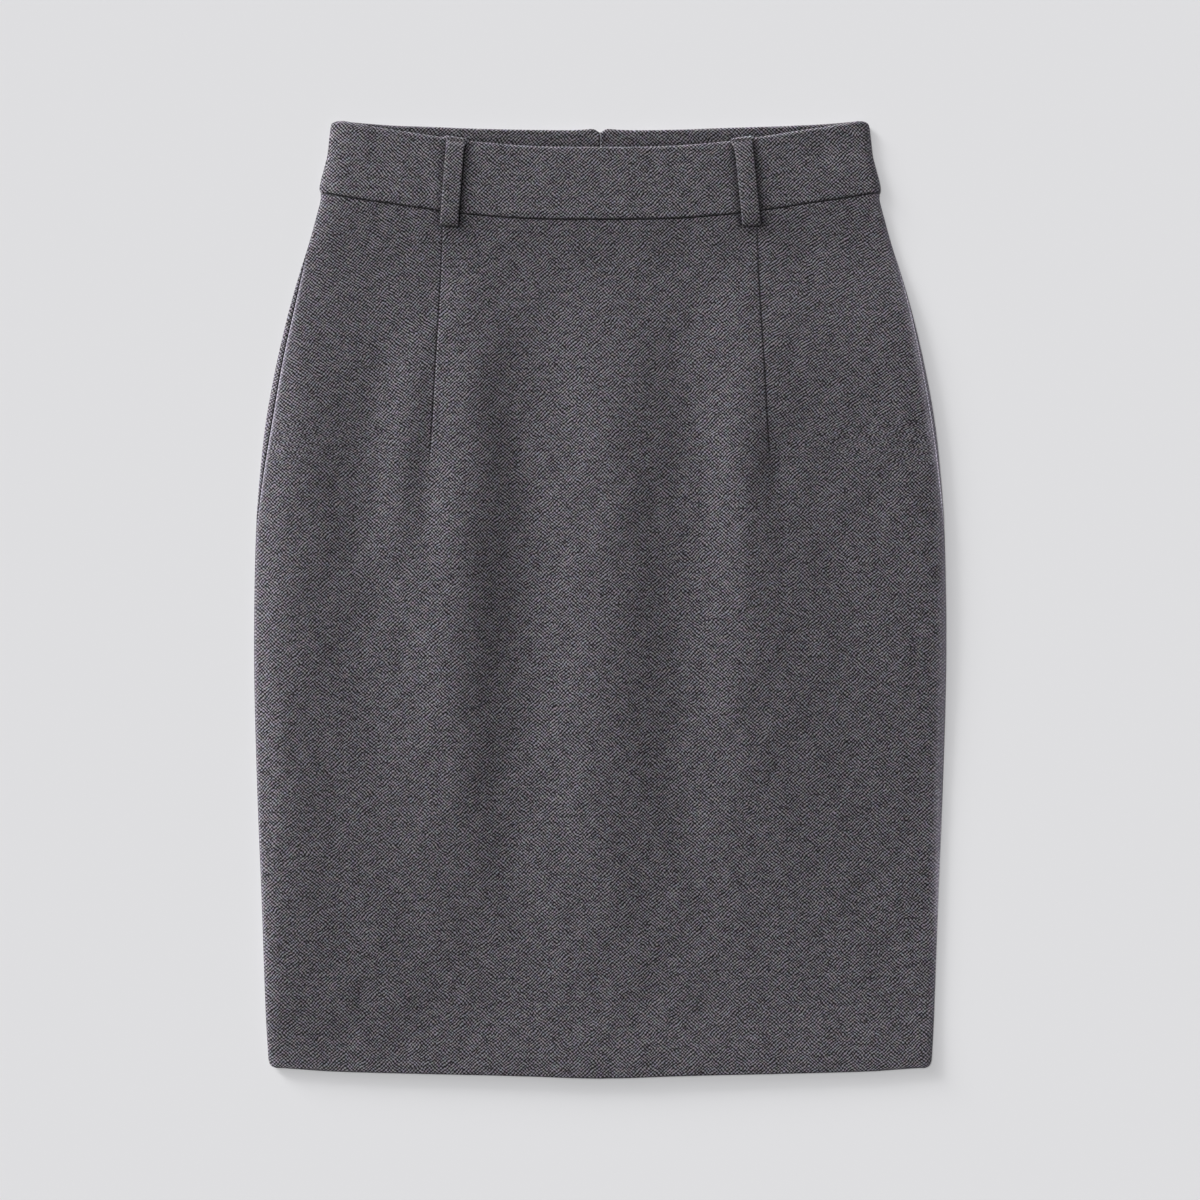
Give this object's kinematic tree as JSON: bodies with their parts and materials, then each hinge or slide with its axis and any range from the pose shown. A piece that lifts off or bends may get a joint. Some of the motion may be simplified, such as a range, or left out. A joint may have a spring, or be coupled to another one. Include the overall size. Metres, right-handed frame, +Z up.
{
  "type": "pencil skirt",
  "caption": "Knee-length pencil skirt of heavy grey double knit laid flat on its back, with a shaped waistband, darts, belt loops and a centre-back seam.",
  "frame": {"origin": "on the surface that the skirt lies on, under the middle of its bounding box", "axes": "X across the skirt, towards the right of someone who looks down on the front with the waist at the top; Y from the hem to the waist; Z up from the surface"},
  "size_m": [0.4494, 0.6226, 0.0108],
  "materials": {
    "double_knit": "matte bird's-eye double knit, dark and pale grey heathered yarns",
    "waistband_knit": "matte bird's-eye double knit, two plies, folded top edge",
    "loop_knit": "matte bird's-eye double knit, narrow folded strip"
  },
  "bodies": {
    "root": {"skirt_front": "double_knit", "skirt_back_left": "double_knit", "skirt_back_right": "double_knit", "waistband_front": "waistband_knit", "waistband_back_left": "waistband_knit", "waistband_back_right": "waistband_knit", "belt_loop_left": "loop_knit", "belt_loop_right": "loop_knit"}
  },
  "joints": []
}
